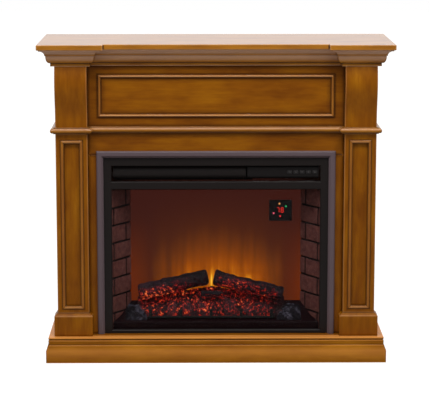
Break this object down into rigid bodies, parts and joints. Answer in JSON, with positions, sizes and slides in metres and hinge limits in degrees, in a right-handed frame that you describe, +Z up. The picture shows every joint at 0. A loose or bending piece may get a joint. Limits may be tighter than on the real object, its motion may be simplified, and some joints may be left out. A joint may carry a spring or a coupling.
{
  "type": "electric fireplace",
  "caption": "Wooden mantel electric fireplace with a breakfront shelf, bead-framed panels and a heater insert with logs, embers and a flame screen.",
  "frame": {"origin": "on the floor under the middle of the object's box", "axes": "+Z up, -Y towards the viewer (the front), +X to the viewer's right"},
  "size_m": [1.068, 0.38, 0.974],
  "materials": {
    "stained_wood": "warm brown stain under satin lacquer",
    "bead_wood": "warm brown stain, rubbed lighter on the rounds",
    "gunmetal_trim": "gunmetal powder coat, satin",
    "black_steel": "black powder coat, satin",
    "clear_glass": "clear toughened glass",
    "galvanised_steel": "galvanised sheet",
    "brick_panel": "moulded brick pattern, matt",
    "flame_acrylic": "frosted acrylic",
    "black_plastic": "moulded black",
    "charred_log": "moulded resin, painted as charred bark",
    "ember_resin": "translucent resin, painted ash and glowing red from below",
    "cast_iron": "black, matt",
    "bright_aluminium": "bright",
    "motor_steel": "plated",
    "circuit_board": "green solder mask",
    "button_plastic": "moulded, satin",
    "gland_rubber": "moulded"
  },
  "bodies": {
    "fireplace": {"shelf_top": "stained_wood", "crown_moulding": "stained_wood", "frieze_panel": "stained_wood", "upper_pilaster_left": "stained_wood", "upper_pilaster_right": "stained_wood", "collar_moulding": "stained_wood", "lower_pilaster_left": "stained_wood", "lower_pilaster_right": "stained_wood", "surround_header": "stained_wood", "surround_stile_left": "stained_wood", "surround_stile_right": "stained_wood", "plinth_left": "stained_wood", "plinth_right": "stained_wood", "base_moulding": "stained_wood", "base_board": "stained_wood", "side_panel_left": "stained_wood", "side_panel_right": "stained_wood", "back_rail": "stained_wood", "frieze_bead": "bead_wood", "pilaster_bead_left": "bead_wood", "pilaster_bead_right": "bead_wood", "trim_frame": "gunmetal_trim", "face_frame": "black_steel", "firebox_ceiling": "black_steel", "outlet_hood": "black_steel", "glass_pane": "clear_glass", "casing_side_left": "galvanised_steel", "casing_side_right": "galvanised_steel", "casing_floor": "galvanised_steel", "casing_top": "galvanised_steel", "rear_cover": "galvanised_steel", "fixing_bracket_left": "galvanised_steel", "fixing_bracket_right": "galvanised_steel", "spinner_bearing": "galvanised_steel", "blower_housing": "galvanised_steel", "brick_panel_left": "brick_panel", "brick_panel_right": "brick_panel", "flame_screen": "flame_acrylic", "floor_tray": "black_plastic", "display_module": "black_plastic", "control_panel": "black_plastic", "log_left": "charred_log", "log_right": "charred_log", "log_small": "charred_log", "ember_bed": "ember_resin", "grate": "cast_iron", "heater_element": "bright_aluminium", "spinner_motor": "motor_steel", "blower_motor": "motor_steel", "flame_led_board": "circuit_board", "ember_led_board": "circuit_board", "control_board": "circuit_board", "cord_inlet": "gland_rubber"},
    "spinner": {"flame_spinner": "bright_aluminium"},
    "blower": {"blower_wheel": "black_plastic"},
    "power_key": {"button_power": "button_plastic"},
    "flame_key": {"button_flame": "button_plastic"},
    "dimmer_key": {"button_dimmer": "button_plastic"},
    "heat_key": {"button_heat": "button_plastic"},
    "timer_key": {"button_timer": "button_plastic"}
  },
  "joints": [
    {"name": "flame_spin", "type": "hinge", "parent": "fireplace", "child": "spinner", "pos_m": [0, 0.0266, 0.1503], "axis": [1, 0, 0], "continuous": true},
    {"name": "blower_spin", "type": "hinge", "parent": "fireplace", "child": "blower", "pos_m": [0, -0.005, 0.5755], "axis": [1, 0, 0], "continuous": true},
    {"name": "power_press", "type": "slide", "parent": "fireplace", "child": "power_key", "axis": [0, 1, 0], "range_m": [0, 0.0012], "stiffness_N_per_m": 900},
    {"name": "flame_press", "type": "slide", "parent": "fireplace", "child": "flame_key", "axis": [0, 1, 0], "range_m": [0, 0.0012], "stiffness_N_per_m": 900},
    {"name": "dimmer_press", "type": "slide", "parent": "fireplace", "child": "dimmer_key", "axis": [0, 1, 0], "range_m": [0, 0.0012], "stiffness_N_per_m": 900},
    {"name": "heat_press", "type": "slide", "parent": "fireplace", "child": "heat_key", "axis": [0, 1, 0], "range_m": [0, 0.0012], "stiffness_N_per_m": 900},
    {"name": "timer_press", "type": "slide", "parent": "fireplace", "child": "timer_key", "axis": [0, 1, 0], "range_m": [0, 0.0012], "stiffness_N_per_m": 900}
  ]
}
